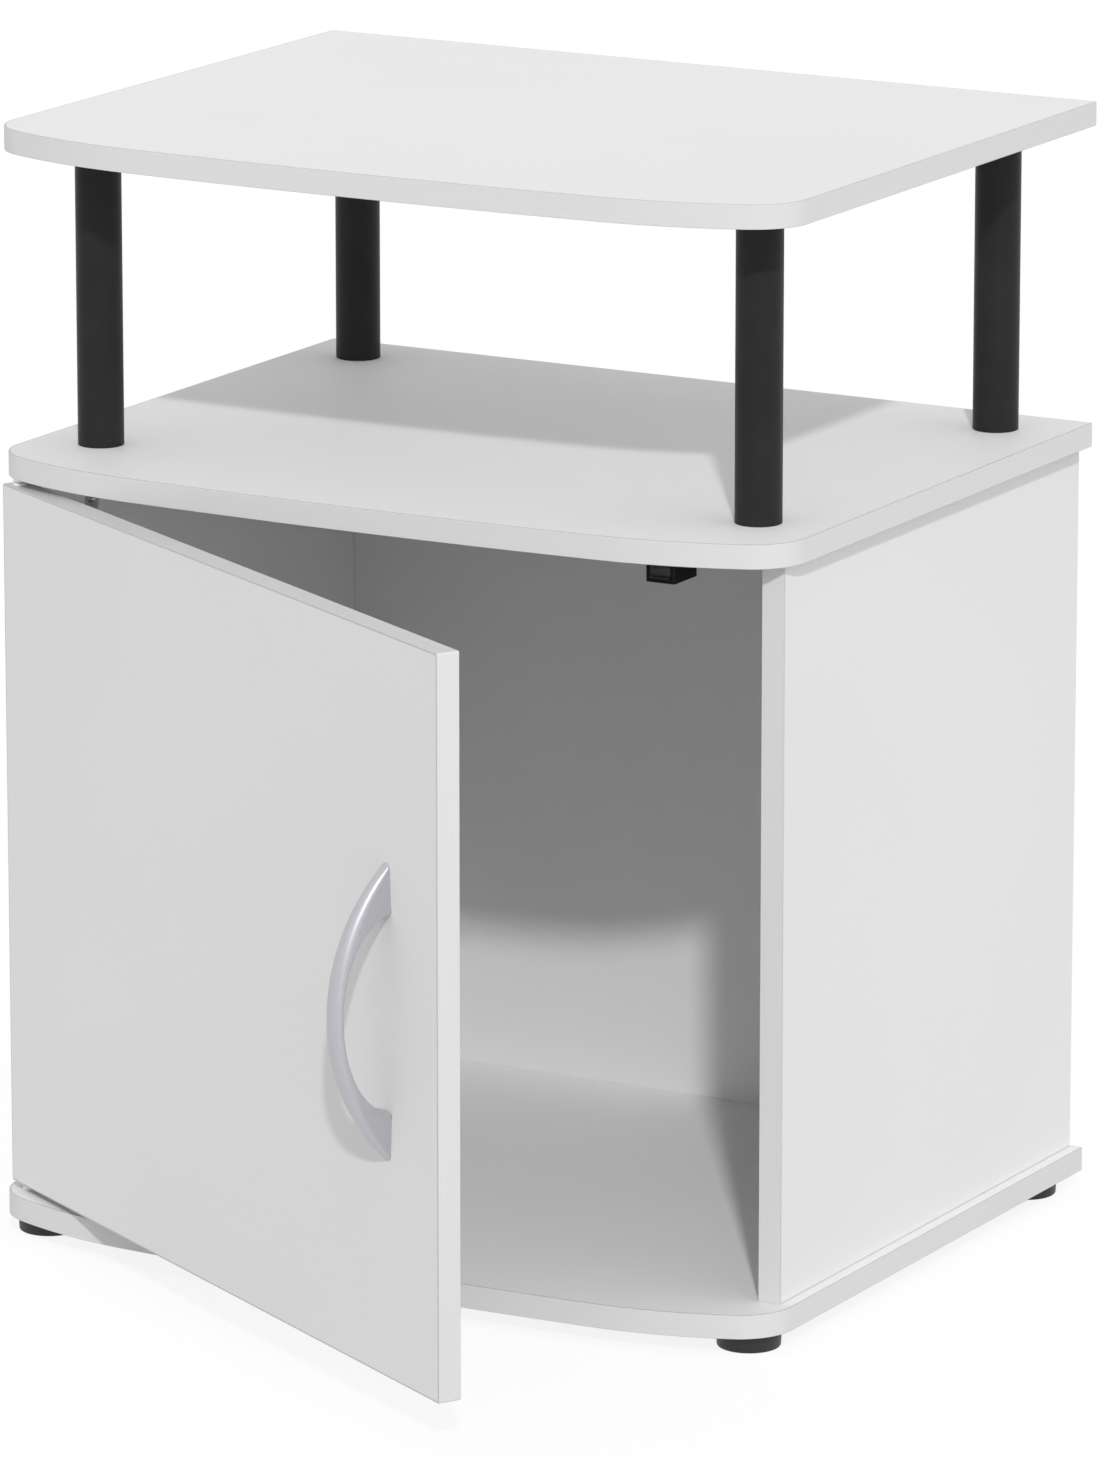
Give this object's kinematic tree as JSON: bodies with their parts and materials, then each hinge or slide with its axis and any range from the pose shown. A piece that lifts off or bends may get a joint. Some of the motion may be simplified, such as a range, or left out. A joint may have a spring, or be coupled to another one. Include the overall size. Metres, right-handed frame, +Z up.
{
  "type": "storage side table with door",
  "caption": "White side table: closed cabinet with a swinging door and bow handle, and an open shelf under a bow-fronted top carried on black tubes.",
  "frame": {"origin": "on the floor, in the middle of the whole footprint with the door at its rest angle", "axes": "+Z up, front towards -Y, hinge side at -X; the door rests 30 degrees open"},
  "size_m": [0.48, 0.5942, 0.61],
  "materials": {
    "white_board": "particle board with a smooth satin white melamine face",
    "hardboard": "thin white-faced fibreboard",
    "white_band": "satin white edge banding",
    "charcoal_tube": "dark charcoal satin powder coat",
    "black_nylon": "moulded black nylon",
    "black_foot": "moulded black plastic",
    "catch_black": "moulded black plastic",
    "white_nylon": "white nylon",
    "plated_steel": "bright zinc plate",
    "blackened_steel": "black oxide, satin",
    "insert_brass": "plain turned brass",
    "satin_handle": "satin silver",
    "magnet_dark": "dark sintered magnet",
    "cam_zinc": "die-cast zinc alloy, dull",
    "beech_dowel": "bare beech"
  },
  "bodies": {
    "cabinet": {"top_board": "white_board", "middle_board": "white_board", "bottom_board": "white_board", "left_side_panel": "white_board", "right_side_panel": "white_board", "back_panel": "hardboard", "top_board_edge_band": "white_band", "middle_board_edge_band": "white_band", "bottom_board_edge_band": "white_band", "side_panel_edge_bands": "white_band", "front_left_tube": "charcoal_tube", "front_right_tube": "charcoal_tube", "back_left_tube": "charcoal_tube", "back_right_tube": "charcoal_tube", "tube_lower_plugs": "black_nylon", "tube_upper_plugs": "black_nylon", "tie_bolts": "plated_steel", "tie_washers": "plated_steel", "insert_nuts": "insert_brass", "front_left_foot": "black_foot", "front_right_foot": "black_foot", "back_left_foot": "black_foot", "back_right_foot": "black_foot", "foot_screws": "plated_steel", "lower_pivot_pin": "plated_steel", "upper_pivot_pin": "plated_steel", "catch_housing": "catch_black", "catch_magnet": "magnet_dark", "catch_pole_plates": "blackened_steel", "catch_screws": "plated_steel", "cam_locks": "cam_zinc", "cam_bolts": "plated_steel", "dowels": "beech_dowel"},
    "door": {"door_panel": "white_board", "door_edge_band": "white_band", "lower_pivot_bush": "white_nylon", "upper_pivot_bush": "white_nylon", "door_handle": "satin_handle", "handle_screws": "plated_steel", "strike_plate": "plated_steel", "strike_screw": "plated_steel"}
  },
  "joints": [
    {"name": "door_hinge", "type": "hinge", "parent": "cabinet", "child": "door", "pos_m": [-0.2252, -0.0573, 0.2201], "axis": [0, 0, -1], "range_deg": [-30, 150]}
  ]
}
